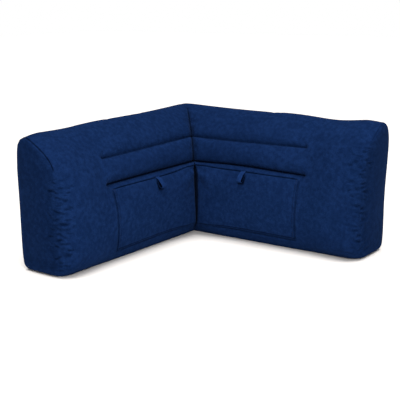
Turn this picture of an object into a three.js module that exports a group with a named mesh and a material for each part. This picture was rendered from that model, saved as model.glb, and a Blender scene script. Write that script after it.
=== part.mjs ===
import * as THREE from 'three';

// Corner backrest pillow: two filled arms sewn together at a mitred right angle, with a patch pocket and a
// pull tab on the inner face of each arm. Millimetres, +Z up. The back faces look towards -X and +Y.
// A place on an arm is given by s, along the arm from the outer corner, d, depth from the back, and z,
// height.

// Driving sizes
const armLength = 977; // outer back corner to the middle of an end panel
const armHeight = 510;
const clothGap = 0.3; // between one piece and the next

const navy = 0x15305f;
const napRoughness = 0.92;

// Section of an arm, from the heel up the back, over the top and down the inner face to the toe, as [d, z].
// mid is the full section along the arm, end is the seam round the end panel, rows is the steps to the next.
const section = [
  { name: 'heel underside', mid: [20, 0], end: [32, 9], rows: 2 },
  { name: 'heel', mid: [5, 7], end: [12, 19], rows: 2 },
  { name: 'lower back', mid: [1.5, 40], end: [5, 50], rows: 3 },
  { name: 'back', mid: [0, 240], end: [4, 240], rows: 3 },
  { name: 'upper back', mid: [2, 421], end: [6, 416], rows: 2 },
  { name: 'back shoulder', mid: [10, 487], end: [14, 484], rows: 2 },
  { name: 'top', mid: [56, armHeight], end: [56, 502], rows: 3 },
  { name: 'front shoulder', mid: [108, 491], end: [104, 478], rows: 3 },
  { name: 'upper roll', mid: [155, 454], end: [144, 451], rows: 6 },
  { name: 'upper channel', mid: [203, 408], end: [183, 406], rows: 6 },
  { name: 'lower roll', mid: [222, 352], end: [198, 352], rows: 7 },
  { name: 'lower channel', mid: [237, 306], end: [202, 305], rows: 3 },
  { name: 'hem line', mid: [241, 286], end: [203, 286], rows: 11 },
  { name: 'pocket middle', mid: [249, 180], end: [203, 180], rows: 12 },
  { name: 'pocket foot', mid: [243, 56], end: [203, 56], rows: 5 },
  { name: 'toe', mid: [211, 8], end: [186, 19], rows: 2 },
  { name: 'toe underside', mid: [194, 0], end: [164, 9], rows: 6 },
];

// Sewn channels across each inner face: how deep the thread pulls the cloth in, and how far above and below
// the seam the roll takes to fill out again
const channels = [
  { name: 'upper channel', depth: 19, above: 50, below: 42, power: 2, end: 740 },
  { name: 'lower channel', depth: 31, above: 42, below: 20, power: 2.4, end: 748 },
];
const channelFade = 36;
const seamDrift = { at: 405, width: 75, along: [250, 500], rise: { left: -5, right: 5 } }; // towards the ends
const hemArch = { at: 295, height: 45, middle: 450, width: 150, rise: { left: 0, right: 7 } };

// Seam where the two arms meet
const mitre = {
  depth: 14, // how far the seam pulls the faces in
  width: 26,
  wedge: 12, // deeper still between the pockets
  fill: 18, // how far the filling swells the lower faces beside it
  fillWidth: 130,
  outerRadius: 42, // round of the outer back corner, seen from above
  outerReach: 110, // depth at which that round has died away
};

// Ends of the arms
const endPanel = {
  seam: armLength - 7,
  round: 56, // length over which the arm rounds down into the seam
  tuck: 0.93, // how far round a quarter circle it turns there
  crown: 7, // how far the panel swells past its seam
  centre: [100, 235],
  rings: [0.975, 0.93, 0.84, 0.66, 0.36],
  front: [100, 60], // depths over which the gathers fade in on the panel
};

// Slow changes along an arm: the top edge swells at the corner and dips before the end, the plain part of the
// inner face bulges, the foot is fuller at the corner, and the top of an end may lean out
const cornerRise = { rise: 9, width: 230 };
const topDip = { at: 815, width: 100, drop: { left: 2, right: 8 } };
const plainBulge = { at: 860, width: 90, rise: 5 };
const foot = { height: 60, corner: 9, cornerWidth: 220, end: -8, along: [560, 300] };
const endLean = {
  along: [780, 190],
  rise: [150, 330],
  out: { left: 0, right: 11 },
  up: { left: -1, right: 6 },
};

// Where each of these fades in, as a start and a run
const zones = {
  face: [90, 70], // depths
  front: [130, 50],
  aboveFloor: [0, 45], // heights
  lowerFace: [20, 50],
  wedgeFoot: [30, 50],
  hem: [260, 25],
  top: [380, 120],
};

// Gathers that cross the end seam below the shoulder: height, reach on to the face and on to the panel, depth
const gathers = {
  left: [
    { z: 372, face: 26, panel: 12, depth: 2.4 },
    { z: 338, face: 44, panel: 26, depth: 4.6 },
    { z: 316, face: 58, panel: 30, depth: 5.2 },
    { z: 290, face: 70, panel: 22, depth: 4.4 },
    { z: 262, face: 52, panel: 24, depth: 4.6 },
    { z: 236, face: 36, panel: 16, depth: 3 },
    { z: 196, face: 60, panel: 24, depth: 4 },
    { z: 166, face: 64, panel: 30, depth: 4.8 },
    { z: 140, face: 48, panel: 26, depth: 4.2 },
    { z: 108, face: 56, panel: 20, depth: 3.6 },
    { z: 76, face: 66, panel: 18, depth: 4.2 },
    { z: 48, face: 40, panel: 14, depth: 2.6 },
  ],
  right: [
    { z: 392, face: 30, panel: 14, depth: 2.4 },
    { z: 356, face: 44, panel: 16, depth: 3 },
    { z: 322, face: 50, panel: 22, depth: 3.4 },
    { z: 288, face: 62, panel: 24, depth: 3.8 },
    { z: 252, face: 48, panel: 20, depth: 3 },
    { z: 206, face: 58, panel: 22, depth: 3.6 },
    { z: 172, face: 60, panel: 26, depth: 3.8 },
    { z: 128, face: 46, panel: 18, depth: 3 },
    { z: 86, face: 58, panel: 20, depth: 3.4 },
    { z: 50, face: 40, panel: 14, depth: 2.4 },
  ],
};
const gather = { halfWidth: 10, stitched: 5 }; // flat for the last few millimetres, where the seam holds them

// Soft creases in a face, fanning out of the ends of the seams: middle, half length, slope and depth
const creases = {
  left: [
    { s: 786, z: 424, half: 46, slope: 0.5, depth: 3.4 },
    { s: 800, z: 386, half: 40, slope: -0.15, depth: 2.6 },
    { s: 792, z: 320, half: 34, slope: 0.3, depth: 3 },
    { s: 800, z: 284, half: 36, slope: -0.35, depth: 2.6 },
    { s: 870, z: 470, half: 60, slope: -0.25, depth: 2.6 },
  ],
  right: [
    { s: 742, z: 446, half: 40, slope: 0.7, depth: 3 },
    { s: 796, z: 414, half: 40, slope: 0.2, depth: 2.4 },
    { s: 796, z: 322, half: 36, slope: 0.25, depth: 3 },
    { s: 800, z: 290, half: 30, slope: -0.3, depth: 2.4 },
    { s: 852, z: 462, half: 56, slope: 0.3, depth: 2.6 },
  ],
};
const creaseHalfWidth = 12;

// Patch pockets, from the pocket foot up into the lower channel and from the mitre out to the side seam
const pocket = {
  side: 721,
  thickness: 2,
  hemThickness: 3.2,
  stitchDip: 0.9,
  creaseLift: 0.9, // how far its edge stands clear of the bottom of the mitre crease
};

// Pull tabs: a strip folded to a loop and sewn into the hem line. lean is the sideways run towards the corner
// for each millimetre of drop.
const tab = {
  middle: { left: 482, right: 483 },
  lean: { left: 0, right: 0.03 },
  width: 21,
  drop: 37,
  ply: 1.8,
  sewnGap: 0.3, // between the two plies at the hem line
  loop: 7.4, // outer radius of the fold at the end
  standOff: 6, // how far the loop's end hangs away from the pocket
};

// Columns of the skin, as s on the inner face. At the mitre they lie along it, and further out square across.
const innerDepth = 249;
const squareFrom = 500;
const columns = [
  innerDepth, 253, 259, 268, 282, 304, 338, 388, 452, 520, 590, 650, 700, pocket.side, 736, 744, 754, 770,
  792, 820, 848, 872, 895, 914, 930, 942, 952, 960, 966, endPanel.seam,
];

const arms = {
  left: (s, d, z) => new THREE.Vector3(d, -s, z),
  right: (s, d, z) => new THREE.Vector3(s, -d, z),
};

const clamp01 = (x) => Math.min(1, Math.max(0, x));
const smooth = (x) => clamp01(x) ** 2 * (3 - 2 * clamp01(x));
const ramp = (x, [from, run]) => smooth((x - from) / run);
const bell = (x) => Math.exp(-x * x);

const splineOf = (kind) =>
  new THREE.CatmullRomCurve3(section.map((p) => new THREE.Vector3(...p[kind], 0)), false, 'centripetal');
const midSpline = splineOf('mid');
const endSpline = splineOf('end');
const placeStep = 0.002; // for the slope of the section at a place
const placeOf = (name) => section.findIndex((p) => p.name === name) / (section.length - 1);
const sectionPoint = (share, place) => midSpline.getPoint(place).lerp(endSpline.getPoint(place), share);

// Rows of the skin as places on the section, 0 to 1. The base closes the section with rows of its own.
const rows = section.slice(0, -1).flatMap((p, i) =>
  Array.from({ length: p.rows }, (_, k) => (i + k / p.rows) / (section.length - 1)));
rows.push(1);
const baseRows = section.at(-1).rows;
const rowOf = (name) => rows.findIndex((place) => Math.abs(place - placeOf(name)) < 1e-9);

function endRounding(s) {
  const x = clamp01((s - endPanel.seam + endPanel.round) / endPanel.round);
  return (1 - Math.sqrt(1 - endPanel.tuck * x * x)) / (1 - Math.sqrt(1 - endPanel.tuck));
}

function channelPull(s, share, point) {
  let pull = 0;
  for (const c of channels) {
    const seam = sectionPoint(share, placeOf(c.name));
    const reach = point.y > seam.y ? c.above : c.below;
    const held = 1 - smooth((s - c.end) / channelFade + 0.5);
    pull += c.depth * clamp01(1 - point.distanceTo(seam) / reach) ** c.power * held;
  }
  return pull;
}

function creasePull(arm, s, z) {
  let pull = 0;
  for (const c of creases[arm]) {
    const off = (z - c.z - c.slope * (s - c.s)) / Math.hypot(1, c.slope);
    pull += c.depth * bell(off / creaseHalfWidth) * clamp01(1 - ((s - c.s) / c.half) ** 2) ** 2;
  }
  return pull;
}

function gatherPull(arm, toSeam, z, side) {
  let pull = 0;
  for (const g of gathers[arm])
    pull += g.depth * bell((z - g.z) / gather.halfWidth) * clamp01(1 - toSeam / g[side]);
  return pull * clamp01(toSeam / gather.stitched);
}

// How far the skin lies inside the full section: pulled in by seams and creases, let out by the filling
function pullAt(arm, s, share, point) {
  const { x: d, y: z } = point;
  const toMitre = Math.max(0, s - d);
  const face = ramp(d, zones.face) * ramp(z, zones.aboveFloor);
  const lowerFace = ramp(z, zones.lowerFace) * (1 - ramp(z, zones.hem));
  const wedge = mitre.wedge * ramp(z, zones.wedgeFoot) * (1 - ramp(z, zones.hem));
  const pinch = (mitre.depth + wedge) * clamp01(1 - toMitre / mitre.width) ** 2;
  const fill = mitre.fill * bell(toMitre / mitre.fillWidth) * lowerFace;
  const bulge = plainBulge.rise * bell((s - plainBulge.at) / plainBulge.width);
  const folds = creasePull(arm, s, z) + gatherPull(arm, endPanel.seam - s, z, 'face');
  return channelPull(s, share, point) + face * (pinch + folds - fill - bulge);
}

// Slow shifts of a point in s, d and z
function driftAt(arm, s, d, z) {
  const top = ramp(z, zones.top);
  const leaning = ramp(s, endLean.along);
  const lean = leaning * ramp(z, endLean.rise);
  const atCorner = foot.corner * bell(Math.max(0, s - d) / foot.cornerWidth);
  const atEnd = foot.end * ramp(s, foot.along);
  const front = ramp(d, zones.front);
  const seams = seamDrift.rise[arm] * bell((z - seamDrift.at) / seamDrift.width)
    * ramp(s, seamDrift.along) * (1 - leaning) * front;
  const arch = hemArch.rise[arm] * bell((z - hemArch.at) / hemArch.height)
    * bell((s - hemArch.middle) / hemArch.width) * front;
  return {
    s: endLean.out[arm] * lean,
    d: (atCorner + atEnd) * (1 - smooth(z / foot.height)) * front,
    z: seams + arch + endLean.up[arm] * lean * top + top * (cornerRise.rise * bell(s / cornerRise.width)
      - topDip.drop[arm] * bell((s - topDip.at) / topDip.width)),
  };
}

// Rounds the outer back corner in plan by moving points along the mitre
function roundCorner(s, d) {
  const r = mitre.outerRadius;
  const away = Math.abs(s - d);
  if (away >= r) return [s, d];
  const shift = (2 * r - away - Math.sqrt(2 * r * r - away * away)) / 2;
  const share = clamp01(1 - Math.min(s, d) / mitre.outerReach) ** 2;
  return [s + shift * share, d + shift * share];
}

// A point of an arm's skin in the arm's own s, d and z, lifted off it by lift
function skin(arm, column, place, lift = 0) {
  const slant = 1 - smooth((column - innerDepth) / (squareFrom - innerDepth));
  const share = endRounding(column);
  const point = sectionPoint(share, place);
  const before = sectionPoint(share, Math.max(0, place - placeStep));
  const run = sectionPoint(share, Math.min(1, place + placeStep)).sub(before);
  const out = new THREE.Vector3(-run.y, run.x, 0).normalize();
  const s = column + slant * (point.x - innerDepth);
  const move = lift - pullAt(arm, s, share, point);
  const drift = driftAt(arm, s, point.x, point.y);
  const d = point.x + out.x * move + drift.d;
  const z = point.y + out.y * move + drift.z;
  return [...roundCorner(column + slant * (d - innerDepth) + drift.s, d), Math.max(0, z)];
}

function baseRow(ring) {
  const [toe, heel] = [ring.at(-1), ring[0]];
  return Array.from({ length: baseRows - 1 }, (_, k) => toe.clone().lerp(heel, (k + 1) / baseRows));
}

// One closed ring of the skin round an arm
function armRing(arm, column) {
  const ring = rows.map((place) => arms[arm](...skin(arm, column, place)));
  return ring.concat(baseRow(ring));
}

// Rings of an end panel, from its seam in to its middle
function panelRings(arm, seamRing) {
  const [centreD, centreZ] = endPanel.centre;
  return [...endPanel.rings, 0].map((r) =>
    seamRing.map((p) => {
      const [s, depth] = arm === 'left' ? [-p.y, p.x] : [p.x, -p.y];
      const d = centreD + r * (depth - centreD);
      const z = centreZ + r * (p.z - centreZ);
      const front = ramp(d, endPanel.front);
      const folds = r > 0 ? gatherPull(arm, (1 - r) * (d - centreD) / r, z, 'panel') * front : 0;
      const crown = endPanel.crown * Math.sqrt(1 - r ** 6);
      return arms[arm](endPanel.seam + (s - endPanel.seam) * r + crown - folds, d, z);
    }));
}

// A closed mesh from rings of equal length; the first and last rings have shrunk to a point
function loft(rings) {
  const n = rings[0].length;
  const positions = rings.slice(1, -1).flat();
  const first = positions.push(rings[0][0]) - 1;
  const last = positions.push(rings.at(-1)[0]) - 1;
  const index = [];
  for (let k = 0; k < n; k++) {
    const next = (k + 1) % n;
    const tail = (rings.length - 3) * n;
    index.push(first, next, k, last, tail + k, tail + next);
    for (let i = 0; i < rings.length - 3; i++) {
      const [a, b] = [i * n, (i + 1) * n];
      index.push(a + k, a + next, b + k, a + next, b + next, b + k);
    }
  }
  return new THREE.BufferGeometry().setFromPoints(positions).setIndex(index);
}

function cushionGeometry() {
  const left = columns.map((column) => armRing('left', column)).reverse();
  const right = columns.slice(1).map((column) => armRing('right', column));
  return loft([
    ...panelRings('left', left[0]).reverse(), ...left,
    ...right, ...panelRings('right', right.at(-1)),
  ]);
}

// A sheet of cloth between two grids of points of the same size
function sheetGeometry(outer, inner) {
  const [height, width] = [outer.length, outer[0].length];
  const size = width * height;
  const index = [];
  const quad = (a, b, c, d) => index.push(a, b, c, b, d, c);
  for (let i = 0; i < height - 1; i++)
    for (let j = 0; j < width - 1; j++) {
      const a = i * width + j;
      quad(a, a + 1, a + width, a + width + 1);
      quad(size + a + 1, size + a, size + a + width + 1, size + a + width);
    }
  for (let i = 0; i < height - 1; i++) {
    const [a, b] = [i * width, (i + 1) * width];
    quad(size + a, a, size + b, b);
    quad(a + width - 1, size + a + width - 1, b + width - 1, size + b + width - 1);
  }
  for (let j = 0; j < width - 1; j++) {
    const foot = (height - 1) * width + j;
    quad(size + j, size + j + 1, j, j + 1);
    quad(foot, foot + 1, size + foot, size + foot + 1);
  }
  return new THREE.BufferGeometry().setFromPoints([...outer.flat(), ...inner.flat()]).setIndex(index);
}

function pocketGeometry(arm) {
  const pocketRows = rows.slice(rowOf('lower channel') + 1, rowOf('pocket foot') + 1);
  const pocketColumns = columns.slice(0, columns.indexOf(pocket.side) + 1);
  const hem = placeOf('hem line');
  const grid = (liftOf) =>
    pocketRows.map((place) =>
      pocketColumns.map((column, j) => {
        const inCrease = j === 0;
        const [s, d, z] = skin(arm, column, place, liftOf(place) + (inCrease ? pocket.creaseLift : 0));
        return arms[arm](inCrease ? s + clothGap : s, d, z);
      }));
  const face = grid((place) => {
    const stitched = Math.abs(place - hem) < 1e-9 ? pocket.stitchDip : 0;
    return clothGap + (place < hem ? pocket.hemThickness : pocket.thickness) - stitched;
  });
  const back = grid(() => clothGap);
  return arm === 'left' ? sheetGeometry(face, back) : sheetGeometry(back, face);
}

// Side view of a folded strip: out from the pocket along X, up along Y. The plies meet in the hem line and
// open towards the fold.
function tabShape() {
  const { ply, loop } = tab;
  const fold = loop - tab.drop;
  const frontTop = ply + tab.sewnGap;
  const shape = new THREE.Shape();
  shape.moveTo(0, 0);
  shape.lineTo(0, fold);
  shape.absarc(loop, fold, loop, Math.PI, 2 * Math.PI, false);
  shape.lineTo(frontTop + ply, 0);
  shape.lineTo(frontTop, 0);
  shape.lineTo(2 * loop - ply, fold);
  shape.absarc(loop, fold, loop - ply, 2 * Math.PI, Math.PI, true);
  shape.lineTo(ply, 0);
  shape.closePath();
  return shape;
}

function tabGeometry(arm) {
  const hemFace = 2 * clothGap + pocket.thickness;
  const root = arms[arm](...skin(arm, tab.middle[arm], placeOf('hem line'), hemFace));
  const strip = { depth: tab.width, bevelEnabled: false, curveSegments: 6 };
  const geometry = new THREE.ExtrudeGeometry(tabShape(), strip);
  geometry.translate(0, 0, -tab.width / 2);
  const out = arms[arm](0, 1, 0);
  const up = arms[arm](tab.lean[arm], -tab.standOff / tab.drop, 1);
  const across = out.clone().cross(new THREE.Vector3(0, 0, 1));
  geometry.applyMatrix4(new THREE.Matrix4().makeBasis(out, up, across).setPosition(root));
  return geometry;
}

function cloth(name, geometry) {
  const material = new THREE.MeshStandardMaterial({ color: navy, roughness: napRoughness });
  const mesh = new THREE.Mesh(geometry, material);
  material.name = name;
  mesh.name = name;
  return mesh;
}

const model = new THREE.Group();
model.add(cloth('cushion', cushionGeometry()));
for (const arm of Object.keys(arms)) {
  model.add(cloth(`pocket_${arm}`, pocketGeometry(arm)));
  model.add(cloth(`tab_${arm}`, tabGeometry(arm)));
}

// The origin is on the floor under the middle of the bounding box
const box = new THREE.Box3().setFromObject(model);
model.position.set(-(box.min.x + box.max.x) / 2, -(box.min.y + box.max.y) / 2, -box.min.z);

export default model;
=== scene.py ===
import math

import bmesh
import bpy
import numpy as np
from mathutils import Matrix, Vector


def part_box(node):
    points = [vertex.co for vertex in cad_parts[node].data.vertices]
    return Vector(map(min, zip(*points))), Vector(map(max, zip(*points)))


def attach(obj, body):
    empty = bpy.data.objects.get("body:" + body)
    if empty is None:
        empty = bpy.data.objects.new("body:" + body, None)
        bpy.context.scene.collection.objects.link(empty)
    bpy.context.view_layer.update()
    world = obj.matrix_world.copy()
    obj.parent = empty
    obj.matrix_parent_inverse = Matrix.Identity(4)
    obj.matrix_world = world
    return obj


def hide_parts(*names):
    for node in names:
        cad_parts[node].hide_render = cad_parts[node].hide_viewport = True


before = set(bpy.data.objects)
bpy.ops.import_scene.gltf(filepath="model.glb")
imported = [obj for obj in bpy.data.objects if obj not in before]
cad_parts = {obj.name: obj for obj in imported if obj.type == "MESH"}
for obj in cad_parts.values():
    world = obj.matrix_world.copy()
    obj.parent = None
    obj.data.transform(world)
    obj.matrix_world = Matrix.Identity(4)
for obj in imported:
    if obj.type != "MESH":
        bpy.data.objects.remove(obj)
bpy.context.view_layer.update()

cushionLow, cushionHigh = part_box("cushion")
outerCorner = np.array([cushionLow.x, cushionHigh.y, 0.0])
scene = bpy.context.scene

# A place on an arm is s along it from the outer corner, d in from its back and z up, all in millimetres.
armForm = {
    # name, (d, z) of the full section, (d, z) of the end panel's seam, mesh cells up to the next point
    "section": [
        ("heel underside", (20, 0), (32, 9), 3),
        ("heel", (5, 7), (12, 19), 5),
        ("lower back", (1.5, 40), (5, 50), 27),
        ("back", (0, 240), (4, 240), 25),
        ("upper back", (2, 421), (6, 416), 12),
        ("back shoulder", (10, 487), (19, 477), 7),
        ("top", (56, 510), (58, 500), 8),
        ("front shoulder", (108, 491), (104, 478), 8),
        ("upper roll", (155, 454), (144, 451), 10),
        ("upper channel", (203, 408), (183, 406), 9),
        ("lower roll", (222, 352), (198, 352), 8),
        ("lower channel", (237, 306), (202, 305), 4),
        ("hem line", (241, 286), (203, 286), 11),
        ("pocket middle", (249, 180), (203, 180), 12),
        ("pocket foot", (243, 56), (203, 56), 7),
        ("toe", (211, 8), (186, 19), 3),
        ("toe underside", (194, 0), (164, 9), 15),
    ],
    "innerDepth": 249,  # depth at which columns are counted; the first one lies there on the mitre
    "squareFrom": 500,  # columns lie square across the arm from here on
    "panelSeam": 970,  # where the end panel is sewn in
    "panelRound": 56,  # how far before its end the arm begins to round off, and how hard it does
    "panelTuck": 0.93,
    "panelCrown": 7,  # how far the panel swells outward
    "panelSquare": 4,  # how square that swelling is, and how flat its middle
    "panelFlat": 6,
    "panelCrowding": 1.25,  # its cells lie closer towards the front seam
    "pocketSide": 721,  # where the pocket's side seam runs
    # how much farther out a pocket's side runs at each height
    "sideShift": {
        -1: [(56, -4), (110, 2), (170, 6), (235, 7), (290, 9)],
        1: [(56, -4), (110, 0), (140, 2), (170, 3.5), (205, 5.5), (250, 6.5), (290, 8)],
    },
    # how much lower a pocket's foot runs, at the corner and at its end
    "footDrop": {-1: (1, 10), 1: (4, 6)},
    "outerRadius": 42,  # of the upright corner at the back, and how far in that rounding dies away
    "outerReach": 110,
    # where each run of columns ends, and its widest cell
    "columns": [(262, 3), (300, 6), (709, 9.1), (736, 4.5), (870, 8), (958, 6), (970, 4)],
}
seamForm = {
    # each sewn line: depth of the pull, how far above and below it the rolls fill out again, where it ends
    "channels": {"upper channel": (22, 56, 46, 742), "lower channel": (32, 48, 22, 750)},
    "channelFade": 26,  # run over which the pull dies away at a line's end
    "channelRound": 2.1,  # 2 would be a quarter ellipse
    "mitreDepth": 24,  # where the two arms are sewn together
    "wedgeDepth": 16,  # deeper still between the pockets
    "mitreWidth": (17, 12),  # millimetres, and how much wider at the pocket mouths
    "mitreOnTop": (2.2, 14),  # depth and width over the top
    "cornerFill": 18,  # how far the filling pads out the lower part of the corner
    "cornerFillWidth": 130,
    "drift": {-1: -5, 1: 5},  # how far the upper channel climbs along the arm
    "hemArch": {-1: 0, 1: 7},  # how far the hem line bows upward
    "lean": {-1: (0, -6), 1: (11, 0.5)},  # how far the end leans outward and rises
    "topDip": {-1: 8, 1: 12},  # how far the top dips before its end, and rises at the corner
    "cornerRise": 3,
    "plainBulge": 5,  # how far the face swells out beside the pocket
    "footCorner": 9,  # how much deeper the foot stands at the corner, and at the end
    "footEnd": -8,
    "foldWidth": 12,  # half widths of a crease and of a gather's trough
    "gatherWidth": 10,
    "gatherStart": 5,  # how far from the seam a gather reaches its full depth
    "sharp": 0.8,  # how sharp the sewn lines stay when the cover is smoothed
}
# where each part of an arm begins and the run over which it comes in: s along the arm, d in, z up
zones = {
    "face d": (90, 70),
    "face z": (0, 45),
    "front d": (130, 50),
    "lower face z": (20, 50),
    "above lower face z": (260, 25),
    "wedge foot z": (30, 50),
    "above wedge z": (262, 30),
    "top seam z": (470, 30),
    "top z": (380, 120),
    "leaning s": (780, 190),
    "leaning z": (150, 330),
    "foot end s": (560, 300),
    "above foot z": (0, 60),
    "drift s": (250, 500),
}
# middle and half width of the soft swells
swells = {
    "pocket mouth z": (250, 60),
    "plain part s": (860, 90),
    "corner foot": (0, 220),
    "corner top s": (0, 230),
    "end dip s": (785, 120),
    "drift z": (405, 75),
    "hem arch z": (295, 45),
    "hem arch s": (450, 150),
}


def clamped(x):
    return np.clip(x, 0.0, 1.0)


def ramp(x, start, run):
    t = clamped((np.asarray(x, float) - start) / run)
    return t * t * (3 - 2 * t)


def bell(x):
    return np.exp(-np.square(x))


def zone(name, x):
    return ramp(x, *zones[name])


def swell(name, x):
    middle, width = swells[name]
    return bell((x - middle) / width)


sectionNames = [row[0] for row in armForm["section"]]
fullSection = np.array([row[1] for row in armForm["section"]], float)
seamSection = np.array([row[2] for row in armForm["section"]], float)


def placeOf(name):
    return sectionNames.index(name) / (len(sectionNames) - 1)


def sideShift(side, height):
    return np.interp(height, *np.array(armForm["sideShift"][side], float).T)


def footDrop(side, s):
    near, far = armForm["footDrop"][side]
    inner = armForm["innerDepth"]
    return near + (far - near) * clamped((s - inner) / (armForm["pocketSide"] - inner))


def splinePoint(points, place):
    # centripetal Catmull-Rom through the points, place from 0 to 1
    last = len(points) - 1
    position = last * clamped(place)
    piece = np.minimum(np.floor(position).astype(int), last - 1)
    t = (position - piece)[..., None]
    padded = np.vstack([2 * points[0] - points[1], points, 2 * points[-1] - points[-2]])
    p0, p1, p2, p3 = (padded[piece + k] for k in range(4))
    pairs = (p0, p1), (p1, p2), (p2, p3)
    before, here, after = (np.maximum(np.sum((b - a) ** 2, -1) ** 0.25, 1e-9)[..., None] for a, b in pairs)
    start = ((p1 - p0) / before - (p2 - p0) / (before + here) + (p2 - p1) / here) * here
    end = ((p2 - p1) / here - (p3 - p1) / (here + after) + (p3 - p2) / after) * here
    square = (-3 * p1 + 3 * p2 - 2 * start - end) * t ** 2
    cube = (2 * p1 - 2 * p2 + start + end) * t ** 3
    return p1 + start * t + square + cube


def sectionAt(share, place):
    share = share[..., None]
    return splinePoint(fullSection, place) * (1 - share) + splinePoint(seamSection, place) * share


# soft creases that fan out of the ends of the sewn lines: s, z, half length, slope, depth
faceFolds = {
    -1: [
        (786, 424, 46, 0.5, 3.4),
        (802, 386, 40, -0.15, 2.4),
        (794, 322, 34, 0.3, 3.0),
        (802, 284, 36, -0.35, 2.6),
        (870, 470, 60, -0.25, 2.6),
        (850, 200, 60, 0.25, 1.6),
        (820, 120, 50, -0.3, 1.6),
    ],
    1: [
        (746, 444, 40, 0.7, 3.4),
        (798, 412, 40, 0.2, 2.6),
        (796, 322, 36, 0.25, 3.0),
        (802, 288, 32, -0.3, 2.4),
        (856, 462, 56, 0.3, 2.6),
        (868, 396, 50, -0.2, 2.0),
        (846, 190, 56, 0.25, 1.8),
    ],
}
# troughs of the larger gathers across the end seam: z, reach on the face, depth
seamGathers = {
    -1: [
        (372, 26, 1.4), (338, 44, 3.0), (316, 58, 3.6), (290, 70, 3.2), (262, 52, 3.2), (236, 36, 2.2),
        (196, 60, 3.0), (166, 64, 3.4), (140, 48, 3.0), (108, 56, 2.6), (76, 66, 3.0), (48, 40, 1.8),
    ],
    1: [
        (392, 30, 1.6), (356, 44, 2.2), (322, 50, 2.6), (288, 62, 3.0), (252, 48, 2.4),
        (206, 58, 2.8), (172, 60, 3.0), (128, 46, 2.4), (86, 58, 2.6), (50, 40, 1.8),
    ],
}


def seamFolds(side, s, z):
    pull = np.zeros(s.shape)
    for foldS, foldZ, half, slope, depth in faceFolds[side]:
        off = (z - foldZ - slope * (s - foldS)) / math.hypot(1, slope)
        across = bell(off / seamForm["foldWidth"])
        pull += depth * across * clamped(1 - ((s - foldS) / half) ** 2) ** 2
    toSeam = armForm["panelSeam"] - s
    for foldZ, reach, depth in seamGathers[side]:
        along = clamped(1 - toSeam / reach) * clamped(toSeam / seamForm["gatherStart"])
        pull += depth * bell((z - foldZ) / seamForm["gatherWidth"]) * along
    return pull


def seamPull(side, s, share, point):
    # how far the sewing draws the cloth in, less how far the filling lets it out
    d, z = point[..., 0], point[..., 1]
    pull = np.zeros(s.shape)
    fade, power = seamForm["channelFade"], seamForm["channelRound"]
    for name, (depth, above, below, end) in seamForm["channels"].items():
        line = sectionAt(share, np.full(s.shape, placeOf(name)))
        reach = np.where(z > line[..., 1], above, below)
        away = clamped(1 - np.linalg.norm(point - line, axis=-1) / reach)
        held = 1 - ramp(s, end - fade / 2, fade)
        pull += depth * held * (1 - (1 - away ** power) ** (1 / power))
    toMitre = np.maximum(0, s - d)
    face = zone("face d", d) * zone("face z", z)
    lowerFace = zone("lower face z", z) * (1 - zone("above lower face z", z))
    narrow, wider = seamForm["mitreWidth"]
    near = clamped(1 - toMitre / (narrow + wider * swell("pocket mouth z", z)))
    wedge = zone("wedge foot z", z) * (1 - zone("above wedge z", z))
    pinch = (seamForm["mitreDepth"] + seamForm["wedgeDepth"] * wedge) * (1 - np.sqrt(1 - near ** 2))
    topDepth, topWidth = seamForm["mitreOnTop"]
    onTop = clamped(1 - toMitre / topWidth) ** 2 * zone("top seam z", z) * (1 - zone("face d", d))
    fill = seamForm["cornerFill"] * bell(toMitre / seamForm["cornerFillWidth"]) * lowerFace
    bulge = seamForm["plainBulge"] * swell("plain part s", s)
    folds = seamFolds(side, s, z)
    return pull + topDepth * onTop + face * (pinch + folds - fill - bulge)


def skin(side, column, place, lift=0.0):
    # side is -1 on the left arm and 1 on the right; returns s, d, z in the last axis
    column, place = np.broadcast_arrays(np.asarray(column, float), np.asarray(place, float))
    inner = armForm["innerDepth"]
    slant = 1 - ramp(column, inner, armForm["squareFrom"] - inner)
    turn = clamped((column - armForm["panelSeam"]) / armForm["panelRound"] + 1)
    tuck = armForm["panelTuck"]
    share = (1 - np.sqrt(1 - tuck * turn ** 2)) / (1 - math.sqrt(1 - tuck))
    point = sectionAt(share, place)
    nearby = 0.002
    run = sectionAt(share, np.minimum(1, place + nearby)) - sectionAt(share, np.maximum(0, place - nearby))
    out = np.stack([-run[..., 1], run[..., 0]], -1)
    out /= np.linalg.norm(out, axis=-1, keepdims=True)
    d, z = point[..., 0], point[..., 1]
    s = column + slant * (d - inner)
    move = lift - seamPull(side, s, share, point)
    leaning = zone("leaning s", s)
    lean = leaning * zone("leaning z", z)
    outward, upward = seamForm["lean"][side]
    front = zone("front d", d)
    atCorner = seamForm["footCorner"] * swell("corner foot", np.maximum(0, s - d))
    foot = atCorner + seamForm["footEnd"] * zone("foot end s", s)
    drift = seamForm["drift"][side] * swell("drift z", z) * zone("drift s", s) * (1 - leaning) * front
    arch = seamForm["hemArch"][side] * swell("hem arch z", z) * swell("hem arch s", s) * front
    rise = seamForm["cornerRise"] * swell("corner top s", s)
    rise = rise - seamForm["topDip"][side] * swell("end dip s", s)
    newD = d + out[..., 0] * move + foot * (1 - zone("above foot z", z)) * front
    newZ = z + out[..., 1] * move + drift + arch + zone("top z", z) * (rise + upward * lean)
    newZ = np.maximum(0, newZ)
    newS = column + slant * (newD - inner) + outward * lean
    radius = armForm["outerRadius"]
    away = np.minimum(np.abs(newS - newD), radius)
    rounding = (2 * radius - away - np.sqrt(2 * radius ** 2 - away ** 2)) / 2
    rounding = rounding * clamped(1 - np.minimum(newS, newD) / armForm["outerReach"]) ** 2
    return np.stack([newS + rounding, newD + rounding, newZ], -1)


def toWorld(side, sdz):
    # metres in the shared frame
    s, d, z = sdz[..., 0], sdz[..., 1], sdz[..., 2]
    x, y = (d, -s) if side < 0 else (s, -d)
    return outerCorner + np.stack([x, y, z], -1) / 1000


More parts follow.
